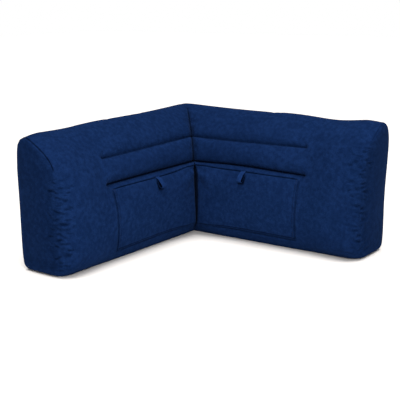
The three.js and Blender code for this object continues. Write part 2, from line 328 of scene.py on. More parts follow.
def armPlace(points):
    # side, s, d and z of points in the shared frame
    local = (points - outerCorner) * 1000
    right = local[:, 0] > -local[:, 1]
    s = np.where(right, local[:, 0], -local[:, 1])
    d = np.where(right, -local[:, 1], local[:, 0])
    return np.where(right, 1, -1), s, d, local[:, 2]


def armColumns():
    stops = [armForm["innerDepth"]]
    for end, widest in armForm["columns"]:
        start = stops[-1]
        count = math.ceil((end - start) / widest)
        stops += [start + (end - start) * (k + 1) / count for k in range(count)]
    return np.array(stops, float)


def sectionRows():
    # places of the rows from the heel underside over the top to the toe underside
    rows = []
    for k, (_, _, _, cells) in enumerate(armForm["section"][:-1]):
        rows += [(k + i / cells) / (len(sectionNames) - 1) for i in range(cells)]
    return np.array(rows + [1.0])


# filled cover
columns = armColumns()
mitreColumn = len(columns) - 1  # number of the mitre's ring, counted from the left end
rows = sectionRows()
# millimetres for a whole turn round the section, at the rate that holds beside the channels
sectionSteps = np.linalg.norm(np.diff(fullSection, axis=0), axis=1)
besideChannels = slice(sectionNames.index("upper channel"), sectionNames.index("pocket middle"))
sectionLength = sectionSteps[besideChannels].mean() * (len(sectionNames) - 1)
baseCells = armForm["section"][-1][3]


def withBase(ring):
    # closes each ring along the floor, from the toe back to the heel
    steps = (np.arange(1, baseCells) / baseCells)[None, :, None]
    return np.concatenate([ring, ring[:, -1:] * (1 - steps) + ring[:, :1] * steps], axis=1)


def wrapPoints():
    left, right = (withBase(toWorld(side, skin(side, columns[:, None], rows[None, :]))) for side in (-1, 1))
    return np.concatenate([left[::-1], right[1:]])


def linked(name, data):
    thing = bpy.data.objects.new(name, data)
    scene.collection.objects.link(thing)
    return thing


def newPiece(name, points, edges, faces):
    mesh = bpy.data.meshes.new(name)
    mesh.from_pydata(points, edges, faces)
    return linked(name, mesh)


def pointsOf(mesh):
    return np.array([v.co for v in mesh.vertices])


def normalsOf(mesh):
    return np.array([n.vector for n in mesh.vertex_normals])


def rowNumber(name):
    return int(np.argmin(np.abs(rows - placeOf(name))))


backRows = rowNumber("back shoulder")
topCells = rowNumber("front shoulder") - backRows


def sidesOf(ring):
    # back, front, top and base of a ring of points or of their numbers, as the end panel meets them
    back = ring[: backRows + 1]
    front = ring[rowNumber("front shoulder"): rowNumber("toe underside") + 1][::-1]
    top = ring[backRows: backRows + topCells + 1]
    base = ring[(len(ring) - np.arange(topCells + 1)) % len(ring)]
    return back, front, top, base


def panelPoints(side, ring):
    # a grid across the end of an arm, from its back seam to its front one, inside the ring of seam points
    across = 1 - (1 - np.arange(topCells + 1) / topCells) ** armForm["panelCrowding"]
    u = across[None, :, None]
    v = (np.arange(backRows + 1) / backRows)[:, None, None]
    back, front, top, base = sidesOf(ring)
    back, front, top, base = back[:, None], front[:, None], top[None], base[None]
    flat = (1 - u) * back + u * front + (1 - v) * base + v * top
    flat -= (1 - u) * ((1 - v) * back[:1] + v * back[-1:]) + u * ((1 - v) * front[:1] + v * front[-1:])
    square = armForm["panelSquare"]
    reach = (np.abs(2 * u - 1) ** square + np.abs(2 * v - 1) ** square) ** (1 / square)
    crown = armForm["panelCrown"] / 1000 * np.sqrt(clamped(1 - reach ** armForm["panelFlat"]))
    flat += crown * (np.array([0, -1, 0]) if side < 0 else np.array([1, 0, 0]))
    return flat[1:-1, 1:-1]


def cushionMesh(name):
    # rings of both arms from the left end to the right one, closed by a panel at either end
    wrap = wrapPoints()
    count, ring = wrap.shape[:2]
    numbers = np.arange(count * ring).reshape(count, ring)
    beside = np.roll(numbers, -1, 1)
    points = [wrap.reshape(-1, 3)]
    faces = [np.stack([numbers[:-1], numbers[1:], beside[1:], beside[:-1]], -1).reshape(-1, 4)]
    for side, edge in ((-1, 0), (1, count - 1)):
        inner = panelPoints(side, wrap[edge])
        grid = np.zeros((backRows + 1, topCells + 1), int)
        grid[:, 0], grid[:, -1], grid[-1], grid[0] = sidesOf(numbers[edge])
        start = sum(len(p) for p in points)
        grid[1:-1, 1:-1] = start + np.arange(inner.shape[0] * inner.shape[1]).reshape(inner.shape[:2])
        points.append(inner.reshape(-1, 3))
        quads = np.stack([grid[:-1, :-1], grid[1:, :-1], grid[1:, 1:], grid[:-1, 1:]], -1)
        faces.append(quads.reshape(-1, 4))
    piece = newPiece(name, np.concatenate(points).tolist(), [], np.concatenate(faces).tolist())
    mesh = piece.data
    work = bmesh.new()
    work.from_mesh(mesh)
    bmesh.ops.recalc_face_normals(work, faces=work.faces)
    work.to_mesh(mesh)
    work.free()
    mesh.polygons.foreach_set("use_smooth", [True] * len(mesh.polygons))
    return piece, numbers


cover, wrapNumbers = cushionMesh("cushion_cover")
print("scene: cover laid out,", len(cover.data.vertices), "points,", len(cover.data.polygons), "cells")

# filling: the cover is let out and blown up as cloth
filling = {
    "frames": 22,
    "cloth": {
        "quality": 6,
        "mass": 0.2,
        "tension_stiffness": 12,
        "compression_stiffness": 12,
        "shear_stiffness": 6,
        "bending_stiffness": 0.08,
        "pin_stiffness": 1,
        "use_pressure": True,
        "uniform_pressure_force": 5.0,
    },
    "middle": (120.0, 240.0),  # d and z round which the cloth is let out
    "ease": 0.012,  # how much larger it is cut than its place, all over
    "endEase": {"wrap": 0.03, "seam": 0.02, "panel": 0.02},  # near the end seams, where it is gathered in
    "seamRun": 18,  # millimetres from the seam to where it has grown from "seam" to "wrap"
    "endReach": (25, 95),  # where that begins to die away, and over how far
    "gatheredFoot": (40, 60),  # the part of the end seam that is gathered in
    "gatheredHead": (380, 70),
    "gatheredFront": (90, 60),
    "sewnShort": 4,  # millimetres of a sewn line that are left free at its end
    "floorBand": 0.004,  # metres above the floor that stay where they are
    "hold": 0.03,  # how firmly the filling keeps each point near its place
    "widest": 0.012,  # farthest a point may go from its place, in metres
    "keepForm": 0.7,  # share of the broad swelling that is taken out again
    "broad": 7,  # cells over which swelling counts as broad
}


def cutShape(piece):
    # the same cover with its rings let out round the middle of each arm
    side, s, d, z = armPlace(pointsOf(piece.data))
    toSeam = np.maximum(0, armForm["panelSeam"] - s)
    wrapCount = wrapNumbers.size
    ease = np.full(len(s), filling["ease"])
    near = filling["endEase"]
    grown = near["seam"] + (near["wrap"] - near["seam"]) * ramp(toSeam, 0, filling["seamRun"])
    height = ramp(z, *filling["gatheredFoot"]) * (1 - ramp(z, *filling["gatheredHead"]))
    gathered = height * ramp(d, *filling["gatheredFront"])
    ease[:wrapCount] += (grown * (1 - ramp(toSeam, *filling["endReach"])) * gathered)[:wrapCount]
    ease[wrapCount:] += (near["panel"] * gathered)[wrapCount:]
    middleD, middleZ = filling["middle"]
    newD = middleD + (d - middleD) * (1 + ease)
    newZ = middleZ + (z - middleZ) * (1 + ease)
    cut = np.where(side[:, None] > 0, np.stack([s, -newD, newZ], -1), np.stack([newD, -s, newZ], -1))
    return outerCorner + cut / 1000


def heldPoints(piece):
    # 1 where the cover is sewn or stands on the floor, and the light hold of the filling elsewhere
    hold = np.full(len(piece.data.vertices), filling["hold"])
    for name, (_, _, _, end) in seamForm["channels"].items():
        sewn = np.nonzero(columns <= end - filling["sewnShort"])[0]
        ring = wrapNumbers[:, rowNumber(name)]
        hold[ring[mitreColumn - sewn]] = 1
        hold[ring[mitreColumn + sewn]] = 1
    hold[wrapNumbers[mitreColumn]] = 1
    hold[wrapNumbers[[0, -1]]] = 1
    hold[pointsOf(piece.data)[:, 2] < filling["floorBand"]] = 1
    return hold


def blowUp(piece):
    start = pointsOf(piece.data)
    piece.shape_key_add(name="laid out")
    cut = piece.shape_key_add(name="cut")
    cut.data.foreach_set("co", cutShape(piece).ravel())
    cut.value = 0
    sewn = piece.vertex_groups.new(name="sewn")
    for number, weight in enumerate(heldPoints(piece)):
        sewn.add([number], float(weight), "REPLACE")
    cloth = piece.modifiers.new("filling", "CLOTH")
    for name, value in filling["cloth"].items():
        setattr(cloth.settings, name, value)
    cloth.settings.vertex_group_mass = sewn.name
    cloth.settings.rest_shape_key = cut
    cloth.settings.effector_weights.gravity = 0
    cloth.collision_settings.use_collision = False
    cloth.point_cache.frame_start = 1
    cloth.point_cache.frame_end = filling["frames"]
    for frameNumber in range(1, filling["frames"] + 1):
        scene.frame_set(frameNumber)
    settled = piece.evaluated_get(bpy.context.evaluated_depsgraph_get()).to_mesh()
    moved = pointsOf(settled) - start
    piece.modifiers.remove(cloth)
    piece.vertex_groups.remove(sewn)
    piece.shape_key_clear()
    scene.frame_set(1)
    return start, moved


def blurred(values, cells):
    # over a grid of points that closes on itself along its second side
    far = 2 * cells
    reach = np.arange(-far, far + 1)
    weights = np.exp(-(reach / cells) ** 2)
    weights /= weights.sum()
    padded = np.concatenate([values[:1].repeat(far, 0), values, values[-1:].repeat(far, 0)])
    along = sum(w * padded[k: k + len(values)] for k, w in enumerate(weights))
    return sum(w * np.roll(along, int(k), 1) for k, w in zip(reach, weights))


def fillCover(piece):
    start, moved = blowUp(piece)
    size = np.linalg.norm(moved, axis=1)
    print(f"scene: filled, points moved {1000 * size.mean():.1f} mm, at most {1000 * size.max():.1f} mm")
    grid = moved[wrapNumbers]
    broad = np.zeros_like(moved)
    broad[wrapNumbers.ravel()] = blurred(grid, filling["broad"]).reshape(-1, 3)
    moved = moved - filling["keepForm"] * broad
    size = np.linalg.norm(moved, axis=1, keepdims=True)
    moved *= np.minimum(1, filling["widest"] / np.maximum(size, 1e-9))
    points = start + moved
    points[:, 2] = np.maximum(points[:, 2], 0)
    piece.data.vertices.foreach_set("co", points.ravel())
    piece.data.update()


fillCover(cover)

# cloth of the whole pillow
velvetLook = {
    "deep": (0.0032, 0.0115, 0.0455),
    "bright": (0.0057, 0.019, 0.0715),
    # each pattern's size in metres, detail and roughness
    "patches": (0.016, 5.0, 0.62),
    "nap": (1 / 9, 2.0, 0.5),
    "grain": (0.0022, 3.0, 0.6),
    "napShare": 0.22,  # of the broad shading beside the patches
    "toneRange": (0.42, 0.88),  # where the two patterns together show deep and bright
    "speckle": {"From Min": 0.3, "From Max": 0.7, "To Min": 0.72, "To Max": 1.28},
    "grainDepth": 0.0005,
    "grainStrength": 0.5,
    "pile": {
        "Roughness": 0.85,
        "Specular IOR Level": 0.0,
        "Sheen Weight": 0.03,
        "Sheen Roughness": 0.45,
        "Sheen Tint": (0.25, 0.45, 1.0, 1),
    },
    "paintedShade": 0.07,  # how bright the cloth is painted where its painted shade is full: in seams, troughs, between the pockets and under the tabs
    "insideShade": 0.15,  # painted shade: how bright the darker copy for the inside of a tab's fold is
}


class NodeDesk:
    # adds nodes to a tree and joins them; a name of digits is a socket's number
    def __init__(self, tree):
        self.tree = tree

    def add(self, kind, settings=None, **inputs):
        node = self.tree.nodes.new(kind)
        for name, value in (settings or {}).items():
            setattr(node, name, value)
        for name, value in inputs.items():
            self.feed(node, name.replace("_", " "), value)
        return node

    def feed(self, node, name, value):
        socket = node.inputs[int(name)] if name.isdigit() else node.inputs[name]
        if isinstance(value, bpy.types.NodeSocket):
            self.tree.links.new(value, socket)
        elif isinstance(value, bpy.types.Node):
            self.tree.links.new(value.outputs[0], socket)
        else:
            socket.default_value = value


def mixed(desk, factor, first, second, blend="MIX"):
    # the numbers are those of the sockets for colours
    settings = {"data_type": "RGBA", "blend_type": blend}
    return desk.add("ShaderNodeMix", settings, **{"0": factor, "6": first, "7": second}).outputs[2]


def setInputs(node, values):
    for name, value in values.items():
        node.inputs[name].default_value = value


def plainMaterial(name, values):
    paint = bpy.data.materials.new(name)
    paint.use_nodes = True
    setInputs(paint.node_tree.nodes["Principled BSDF"], values)
    return paint


# paintedLightScale above 1 paints a lit, lighter copy and below 1 a shaded, darker one
def velvetMaterial(name, paintedLightScale=1.0):
    cloth = plainMaterial(name, velvetLook["pile"])
    desk = NodeDesk(cloth.node_tree)
    shader = cloth.node_tree.nodes["Principled BSDF"]
    place = desk.add("ShaderNodeTexCoord").outputs["Object"]
    noises = []
    for pattern in ("patches", "nap", "grain"):
        size, detail, rough = velvetLook[pattern]
        values = {"Scale": 1 / size, "Detail": detail, "Roughness": rough}
        noises.append(desk.add("ShaderNodeTexNoise", Vector=place, **values))
    patches, nap, grain = noises
    addends = {"0": nap, "1": velvetLook["napShare"], "2": patches}
    both = desk.add("ShaderNodeMath", {"operation": "MULTIPLY_ADD"}, **addends)
    spread = desk.add("ShaderNodeMapRange", {"interpolation_type": "SMOOTHSTEP"}, Value=both)
    low, high = velvetLook["toneRange"]
    setInputs(spread, {"From Min": low, "From Max": high})
    deep = (*(c * paintedLightScale for c in velvetLook["deep"]), 1)
    bright = (*(c * paintedLightScale for c in velvetLook["bright"]), 1)
    tone = mixed(desk, spread.outputs[0], deep, bright)
    speckle = desk.add("ShaderNodeMapRange", Value=grain)
    setInputs(speckle, velvetLook["speckle"])
    shade = desk.add("ShaderNodeCombineColor", Red=speckle, Green=speckle, Blue=speckle)
    colour = mixed(desk, 1.0, tone, shade.outputs[0], "MULTIPLY")
    # painted shade: darkens the cloth where the paintedShade attribute is high
    held = desk.add("ShaderNodeAttribute", {"attribute_name": "paintedShade"})
    dark = (*[velvetLook["paintedShade"]] * 3, 1)
    paintedDark = mixed(desk, held.outputs["Fac"], (1, 1, 1, 1), dark)
    colour = mixed(desk, 1.0, colour, paintedDark, "MULTIPLY")
    desk.feed(shader, "Base Color", colour)
    depth, strength = velvetLook["grainDepth"], velvetLook["grainStrength"]
    desk.feed(shader, "Normal", desk.add("ShaderNodeBump", Height=grain, Strength=strength, Distance=depth))
    return cloth


velvet = velvetMaterial("navy velvet")
# painted shade: a darker copy for the inside of a tab's fold
velvetShadedInside = velvetMaterial("navy velvet, painted shade inside the tabs", velvetLook["insideShade"])
thread = plainMaterial("sewing thread", {"Base Color": (0.004, 0.012, 0.045, 1), "Roughness": 0.6})


def finished(piece):
    # turns a piece with its modifiers into a plain mesh
    done = bpy.data.meshes.new_from_object(piece.evaluated_get(bpy.context.evaluated_depsgraph_get()))
    piece.modifiers.clear()
    old, piece.data = piece.data, done
    done.name = piece.name
    bpy.data.meshes.remove(old)
    done.polygons.foreach_set("use_smooth", [True] * len(done.polygons))
    return piece


# points and directions of the filled cover on its own grid, for what is sewn on to it
coverPoints = pointsOf(cover.data)[wrapNumbers]
coverNormals = normalsOf(cover.data)[wrapNumbers]


# cover: seams drawn sharp, then smoothed once
def creaseSeams(piece):
    lines = [wrapNumbers[mitreColumn], wrapNumbers[0], wrapNumbers[-1]]
    for name, (_, _, _, end) in seamForm["channels"].items():
        sewn = int(np.sum(columns <= end))
        lines.append(wrapNumbers[mitreColumn - sewn: mitreColumn + sewn + 1, rowNumber(name)])
    pairs = {tuple(sorted(pair)) for line in lines for pair in zip(line[:-1].tolist(), line[1:].tolist())}
    sharp = piece.data.attributes.new("crease_edge", "FLOAT", "EDGE")
    sharpness = seamForm["sharp"]
    held = [sharpness if tuple(sorted(edge.vertices)) in pairs else 0.0 for edge in piece.data.edges]
    sharp.data.foreach_set("value", held)


def store(piece, name, values):
    kept = piece.data.attributes.new(name, "FLOAT", "POINT")
    kept.data.foreach_set("value", np.asarray(values, float).ravel().tolist())


def measureToSeam(piece):
    # millimetres from the end seam, along the arm on the wrap and below zero on the end panels
    grid = coverPoints
    step = np.linalg.norm(np.diff(grid, axis=0), axis=2)
    fromLeft = np.concatenate([np.zeros((1, grid.shape[1])), np.cumsum(step, axis=0)])
    fromRight = fromLeft[-1] - fromLeft
    points = pointsOf(piece.data)
    distance = np.zeros(len(points))
    distance[wrapNumbers.ravel()] = np.minimum(fromLeft, fromRight).ravel()
    for first, seam in ((wrapNumbers.size, grid[0]), (wrapNumbers.size + panelSize, grid[-1])):
        inner = points[first: first + panelSize]
        distance[first: first + panelSize] = -np.linalg.norm(inner[:, None] - seam[None], axis=2).min(1)
    store(piece, "to_seam", distance * 1000)
    along = np.full(len(points), armForm["panelSeam"])
    around = np.full(len(points), -1.0)
    along[wrapNumbers] = np.concatenate([columns[::-1], columns[1:]])[:, None]
    around[wrapNumbers[:, : len(rows)]] = rows[None, :]
    store(piece, "along", along)
    store(piece, "around", around)


panelSize = (backRows - 1) * (topCells - 1)
measureToSeam(cover)
creaseSeams(cover)
smooth = cover.modifiers.new("smooth", "SUBSURF")
smooth.levels = smooth.render_levels = 1
finished(cover)


# cover: small gathers along the end seams
ruching = {
    "seed": 11,
    "spacing": 3.6,  # millimetres between one pucker's height and the next
    "width": (3.0, 6.2),
    "depth": (1.2, 3.5),
    "half": (9, 32),  # half length
    "middle": {-1: -5, 1: 2},  # of the ruched band, and how far its puckers stray from there
    "spread": 25,
    "reach": (-62, 76),  # from the seam, on to the end panel and on to the face
    "reachFade": (14, 20),
    "clear": (12, 16),  # least way from there to a pucker's middle
    "tilt": 0.2,
    "fan": 0.004,  # how much more the puckers tilt away from the seam
    "ridge": (0.42, 1.9),  # height and place of the ridges, in depths and widths of their trough
    "heights": {-1: (26, 366), 1: (26, 446)},
    "headShare": 0.4,  # depth at the top of the ruching, and how far down it grows to the full one
    "headRun": 60,
    "frontFrom": (120, 50),
    # short puckers at the stitches of the seam above the ruching
    "stitches": {"start": 6, "end": 486, "spacing": 9, "stray": 2, "width": 2.4, "depth": 1.1},
    "stitchHalf": (7, 15),
}
# cover: troughs along what is sewn, and painted shade: darker along the sewing, in the pucker troughs,
# between the pockets, on the end panels and on the plain part of the face
sewing = {
    # where cells are halved: in a band on both sides of the end seam, and close to it all the way up
    "fineCells": {"toSeam": (-62, 92), "below": 440, "inFrom": 130, "seam": 12, "above": 20},
    "seamWidth": 2.8,
    "seamDip": (0.7, 2.0),  # in the ruched part and above it
    "seamLip": (0.7, 6, 4),  # height, way from the seam and half width
    "plainSeam": {-1: 378, 1: 430},  # where the seam shows as a line, and how soon that comes in
    "plainRun": 26,
    "fullDepth": 3,  # depth at which a pucker's trough is darkest
    "shadeRange": (-0.2, 1),  # painted shade from a ridge, where it is lessened, to such a trough
    "paintedShade": {-1: 0.38, 1: 0.16},  # how dark that painted shade is
    "faceShade": {-1: 0.04, 1: 0.13},  # painted shade: how much darker the plain part of the face is painted
    "faceShadeFrom": (680, 110),
    "panelShade": 0.27,  # painted shade: the end panels are painted darker than the face
    "panelShadeFrom": (-4, 34),
    "seamLine": {-1: 1.0, 1: 0.3},  # how dark the painted shade along the end seam is above the ruching
    "channelDark": {"upper channel": 0.5, "lower channel": 1.0},
    "channelLine": 3.4,  # half widths of the painted shade along the sewn lines
    "channelEnd": 12,
    "mitreLine": 2.6,
    "mitreDark": 0.55,  # above the pockets
    "mitreFoot": (20, 30),
    "mitreFront": (60, 60),
    "wedgeLine": 8.0,  # wider between the pockets
    "wedgeFoot": (35, 25),
    "wedgeHead": (280, 12),
    "pocketDip": (2.4, 2.6),  # depth and width of the trough in the cover along a pocket's sewn edges
    "pocketDark": (0.35, 0.8),  # along its side and its foot
    "sideLine": 2,  # how far outside the pocket's side its trough lies, and between which heights
    "sideFoot": (44, 12),
    "sideHead": (276, 12),
    "footLine": 53,  # height of the trough below the pocket, and between which places
    "footFrom": (4, 8),
    "footTo": (-2, 8),
    "pocketFront": (150, 40),
    "floorFade": (4, 16),
}


def forSide(side, values):
    return np.where(side < 0, values[-1], values[1])


def valuesOf(piece, name):
    values = np.zeros(len(piece.data.vertices))
    piece.data.attributes[name].data.foreach_get("value", values)
    return values


def refined(piece, wanted):
    # halves the cells whose corners are all wanted
    work = bmesh.new()
    work.from_mesh(piece.data)
    work.verts.ensure_lookup_table()
    edges = {e for f in work.faces if all(wanted[v.index] for v in f.verts) for e in f.edges}
    bmesh.ops.subdivide_edges(work, edges=list(edges), cuts=1, use_grid_fill=True)
    work.to_mesh(piece.data)
    work.free()
    piece.data.update()


def ruchePull(side, toSeam, d, z):
    # many short puckers, each a trough between two low ridges
    chance = np.random.default_rng(ruching["seed"] + side)
    low, high = ruching["heights"][side]
    pull = np.zeros(z.shape)
    nearest, farthest = ruching["reach"]
    for k in range(int((high - low) / ruching["spacing"])):
        middle = low + (k + chance.uniform(0, 1)) * ruching["spacing"]
        across = chance.normal(ruching["middle"][side], ruching["spread"])
        across = float(np.clip(across, nearest + ruching["clear"][0], farthest - ruching["clear"][1]))
        width, depth, half = (chance.uniform(*ruching[name]) for name in ("width", "depth", "half"))
        slope = chance.normal(0, ruching["tilt"]) + ruching["fan"] * across * chance.uniform(-1, 1)
        q = toSeam - across
        off = (z - middle - slope * q) / width
        edge = min(1.0, ruching["headShare"] + (high - middle) / ruching["headRun"])
        ridge, beside = ruching["ridge"]
        trough = bell(off) - ridge * (bell(off - beside) + bell(off + beside))
        pull += edge * depth * clamped(1 - (q / half) ** 2) * trough
    stitches = ruching["stitches"]
    for middle in np.arange(high + stitches["start"], stitches["end"], stitches["spacing"]):
        off = (z - middle - chance.normal(0, stitches["stray"])) / stitches["width"]
        half = chance.uniform(*ruching["stitchHalf"])
        pull += stitches["depth"] * bell(off) * clamped(1 - np.abs(toSeam) / half)
    nearFade, farFade = ruching["reachFade"]
    fade = ramp(toSeam, nearest, nearFade) * (1 - ramp(toSeam, farthest - farFade, farFade))
    return pull * ramp(d, *ruching["frontFrom"]) * fade


def sewingShade(piece, z, d):
    # painted shade, up to 1, along the sewn channels and the mitre
    along, around = valuesOf(piece, "along"), valuesOf(piece, "around")
    inWedge = ramp(z, *sewing["wedgeFoot"]) * (1 - ramp(z, *sewing["wedgeHead"]))
    width = sewing["mitreLine"] + sewing["wedgeLine"] * inWedge
    found = bell((along - armForm["innerDepth"]) / width)
    found = found * ramp(z, *sewing["mitreFoot"]) * ramp(d, *sewing["mitreFront"])
    found *= sewing["mitreDark"] + (1 - sewing["mitreDark"]) * inWedge
    for name, (_, _, _, end) in seamForm["channels"].items():
        off = (around - placeOf(name)) * sectionLength
        run = sewing["channelEnd"]
        dark = bell(off / sewing["channelLine"]) * (1 - ramp(along, end - run, run))
        found = np.maximum(found, sewing["channelDark"][name] * dark)
    return found


def sewDetail(piece):
    # draws the puckers and the sewn lines into the smoothed cover and paints shade on it: in the troughs,
    # along the seams, between the pockets, on the end panels and on the plain part of the face
    side, s, d, z = armPlace(pointsOf(piece.data))
    toSeam = valuesOf(piece, "to_seam")
    fine = sewing["fineCells"]
    near, far = fine["toSeam"]
    puckers = (toSeam > near) & (toSeam < far) & (z < fine["below"]) & (d > fine["inFrom"])
    refined(piece, (puckers | (np.abs(toSeam) < fine["seam"])) & (z > fine["above"]))
    points = pointsOf(piece.data)
    normals = normalsOf(piece.data)
    side, s, d, z = armPlace(points)
    toSeam = valuesOf(piece, "to_seam")
    pull = np.zeros(len(points))
    for one in (-1, 1):
        mine = side == one
        pull[mine] = ruchePull(one, toSeam[mine], d[mine], z[mine])
    puckered = np.clip(pull / sewing["fullDepth"], *sewing["shadeRange"])
    puckered = puckered * forSide(side, sewing["paintedShade"])
    above = ramp(z, forSide(side, sewing["plainSeam"]), sewing["plainRun"])
    ruchedDip, plainDip = sewing["seamDip"]
    seam = bell(toSeam / sewing["seamWidth"])
    pull += (ruchedDip + (plainDip - ruchedDip) * above) * seam
    lip, beside, half = sewing["seamLip"]
    pull -= lip * bell((np.abs(toSeam) - beside) / half)
    seamDark = above * forSide(side, sewing["seamLine"]) * seam
    dip, width = sewing["pocketDip"]
    pocketSide = armForm["pocketSide"] + forSide(side, {one: sideShift(one, z) for one in (-1, 1)})
    sideEdge = bell((s - pocketSide - sewing["sideLine"]) / width) * ramp(z, *sewing["sideFoot"])
    sideEdge = sideEdge * (1 - ramp(z, *sewing["sideHead"]))
    drop = forSide(side, {one: footDrop(one, s) for one in (-1, 1)})
    footEdge = bell((z + drop - sewing["footLine"]) / width) * ramp(s - d, *sewing["footFrom"])
    footEdge = footEdge * (1 - ramp(s - pocketSide, *sewing["footTo"]))
    pull += dip * np.maximum(sideEdge, footEdge) * ramp(d, *sewing["pocketFront"])
    pull *= ramp(z, *sewing["floorFade"])
    # painted shade on the end panels and the plain part of the face, and along the pocket's sewn edges
    panel = sewing["panelShade"] * ramp(-toSeam, *sewing["panelShadeFrom"])
    plain = forSide(side, sewing["faceShade"])
    plain = plain * ramp(s, *sewing["faceShadeFrom"]) * zone("front d", d)
    sideDark, footDark = sewing["pocketDark"]
    edges = np.maximum(sideDark * sideEdge, footDark * footEdge)
    paintedShade = np.maximum.reduce([edges, plain + puckered, panel, seamDark, sewingShade(piece, z, d)])
    store(piece, "paintedShade", paintedShade)
    piece.data.vertices.foreach_set("co", (points - normals * pull[:, None] / 1000).ravel())
    piece.data.update()


sewDetail(cover)
cover.data.materials.append(velvet)
print("scene: cover gathered and sewn,", len(cover.data.polygons), "cells")

# patch pockets: sewn in beside the mitre, down the side and along the foot, open along the hem
pocketMake = {
    "gap": 0.5,  # millimetres
    "thick": 2.0,
    # height in the full section, and how much prouder than the panel the cloth stands there
    "hem": [
        (304, -1.5), (302, 0.8), (298, 2.6), (294, 4.0),
        (290.5, 4.6), (288, 3.4), (286.3, -1.8), (283.5, 0.6),
    ],
    "foot": [(66, 0.8), (62.5, -1.5), (59, 0.6), (55.5, -0.4)],
    "side": [(-13, 0.5), (-9, -1.2), (-5, 0.5), (0, -0.6)],  # the same along the arm, from the side seam
    "hemRise": {-1: 2, 1: 5},  # how much the hem narrows towards its end, and towards the corner
    "hemRiseInside": 5,
    "outwards": (470, 240),  # where the outer part of the pocket comes in, and the inner one goes out
    "inwards": (290, 150),
    "riseFrom": 190,  # height from which the panel follows the hem
    "dropFrom": (60, 130),  # and up to which it follows the foot
    "hemLine": 6,  # number of the sewn row
    "edgeLine": -3,  # and of the sewn column at the side and row at the foot, from the edge
    "hemEnd": -0.3,  # where the hem's end lies in the cover, and over what share of the pocket it sinks
    "hemEndFrom": (0.94, 0.06),
    "panelTop": (270, 12),  # height at which the panel goes over into the hem
    "cell": 6,
    "slack": 3.5,  # how far the panel hangs clear of the cover, and what share of that at its sides
    "slackEnds": 0.25,
    "mouth": 1.5,  # how far the mouth stands clear of the sewn channel behind it
    "mouthFrom": (0.86, 0.14),
    "flap": 25,  # the inner edge stands free of the mitre's pinch over this width
    "flapDrop": 4.0,
    "flapCells": 5,
    # painted shade: how dark the pocket is painted, at the side and the foot on the sewn line and at the edge
    "paintedDark": {"hem": 1, "side": (0.3, 0.5), "foot": (0.8, 0.9), "mitre": 0.9, "mouth": 0.2},
    # heights and how far apart the inner edge and the mitre are
    "wedge": [(40, 1.4), (66, 2.2), (95, 4.6), (170, 8.0), (255, 9.6), (276, 8.0), (285, 1.4), (310, 0.8)],
}


def rowAt(height):
    # row of the section's front, with its share, at a height of the full section
    front = np.arange(rowNumber("top"), len(rows))
    return np.interp(-np.asarray(height, float), -splinePoint(fullSection, rows[front])[:, 1], front)


def coverAt(side, place, height):
    # points and outward directions of the cover at places along the arm and heights on its face
    across = mitreColumn + side * np.interp(place, columns, np.arange(len(columns)))
    across, down = np.broadcast_arrays(across, rowAt(height))
    i = np.clip(np.floor(across).astype(int), 0, len(coverPoints) - 2)
    j = np.floor(down).astype(int)
    u, v = (across - i)[..., None], (down - j)[..., None]
    return tuple((1 - u) * (1 - v) * grid[i, j] + u * (1 - v) * grid[i + 1, j] + (1 - u) * v * grid[i, j + 1]
                 + u * v * grid[i + 1, j + 1] for grid in (coverPoints, coverNormals))


def evenly(start, end, step):
    return list(np.linspace(start, end, math.ceil(abs(end - start) / step) + 1))


def pocketFlap(side, heights, edge, below):
    # from the mitre to the edge of the part that lies on the cover
    flap, cells = pocketMake["flap"], pocketMake["flapCells"]
    _, s, d, z = (v[:, None] for v in armPlace(edge))
    share = np.arange(cells)[None, :] / cells
    wedge = np.interp(heights, *np.array(pocketMake["wedge"]).T)[:, None]
    innerD = d - pocketMake["flapDrop"] * (1 - share) ** 3 * below
    innerS = innerD + wedge + (flap - wedge) * share + (s - d - flap) * share
    return toWorld(side, np.stack([innerS, innerD, np.broadcast_to(z, innerS.shape)], -1))


def pocketFace(side):
    # the pocket's outer face: a row for each height, a column for each place along the arm
    hem, foot = pocketMake["hem"], pocketMake["foot"]
    edge = [(armForm["pocketSide"] + p, lift) for p, lift in pocketMake["side"]]
    panel = [(h, 0.0) for h in evenly(hem[-1][0], foot[0][0], pocketMake["cell"])[1:-1]]
    heights, rowLift = np.array(hem + panel + foot).T
    start = armForm["innerDepth"] + pocketMake["flap"]
    middle = [(p, 0.0) for p in evenly(start, edge[0][0], pocketMake["cell"])[:-1]]
    places, columnLift = np.array(middle + edge).T
    hemZ = hem[pocketMake["hemLine"]][0]
    inHem = (heights[0] - heights) / (heights[0] - hemZ)
    riseFrom = pocketMake["riseFrom"]
    risen = np.where(heights > hemZ, inHem, ramp(heights, riseFrom, hemZ - riseFrom))
    outwards = ramp(places, *pocketMake["outwards"])[None, :]
    shifted = places[None, :] + outwards * sideShift(side, heights)[:, None]
    inwards = 1 - ramp(places, *pocketMake["inwards"])
    narrowing = pocketMake["hemRise"][side] * outwards + pocketMake["hemRiseInside"] * inwards
    lowered = (1 - ramp(heights, *pocketMake["dropFrom"]))[:, None] * footDrop(side, places)
    points, normals = coverAt(side, shifted, heights[:, None] + risen[:, None] * narrowing - lowered)
    across = ((places - start) / (places[-1] - start))[None, :]
    down = ((heights[0] - heights) / (heights[0] - heights[-1]))[:, None]
    ends = pocketMake["slackEnds"]
    slack = pocketMake["slack"] * (ends + (1 - ends) * np.sin(math.pi * across))
    slack = slack * (1 - down ** 2) * (1 - across ** 8)
    opened = clamped((heights - hemZ) / (heights[0] - hemZ))[:, None]
    mouth = pocketMake["mouth"] * opened ** 1.5 * (1 - ramp(across, *pocketMake["mouthFrom"]))
    below = 1 - ramp(heights, *pocketMake["panelTop"])[:, None]
    lift = pocketMake["gap"] + pocketMake["thick"] + slack + mouth
    lift = lift + rowLift[:, None] + columnLift[None, :] * below
    sunk = ramp(across, *pocketMake["hemEndFrom"]) * (1 - below)
    lift = lift * (1 - sunk) + pocketMake["hemEnd"] * sunk
    outer = points + normals * lift[..., None] / 1000
    return np.concatenate([pocketFlap(side, heights, outer[:, 0], below), outer], axis=1)


